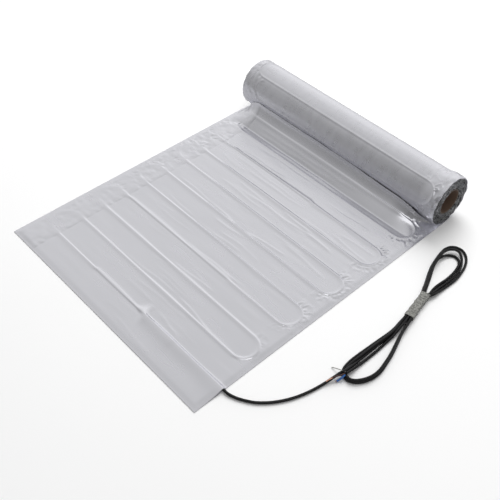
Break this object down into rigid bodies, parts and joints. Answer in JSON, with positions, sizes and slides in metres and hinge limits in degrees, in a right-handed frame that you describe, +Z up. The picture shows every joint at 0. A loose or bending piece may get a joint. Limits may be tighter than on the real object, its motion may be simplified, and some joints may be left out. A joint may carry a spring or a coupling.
{
  "type": "underfloor heating mat",
  "caption": "Foil heating mat with a serpentine cable, partly unrolled from its cardboard core, with its cold lead tied in a hank beside it.",
  "frame": {"origin": "middle of the mat and its roll on the floor, without the cold lead", "axes": "+X across the mat towards the edge that the lead leaves, +Y from the free end to the roll, +Z up"},
  "size_m": [0.6401, 0.6479, 0.0987],
  "materials": {
    "foil": "glossy, softly creased",
    "cable_jacket": "smooth",
    "black_jacket": "satin",
    "cardboard": "matt paper board",
    "clear_film": "creased film",
    "blue_jacket": "smooth",
    "brown_jacket": "smooth",
    "tinned_copper": "stranded wire"
  },
  "bodies": {
    "root": {"foil_mat": "foil", "heating_cable": "cable_jacket", "cold_joint": "black_jacket", "core_tube": "cardboard", "cold_lead": "black_jacket", "lead_hank": "black_jacket", "binding_wrap": "clear_film", "blue_core": "blue_jacket", "brown_core": "brown_jacket", "earth_braid": "tinned_copper"}
  },
  "joints": []
}
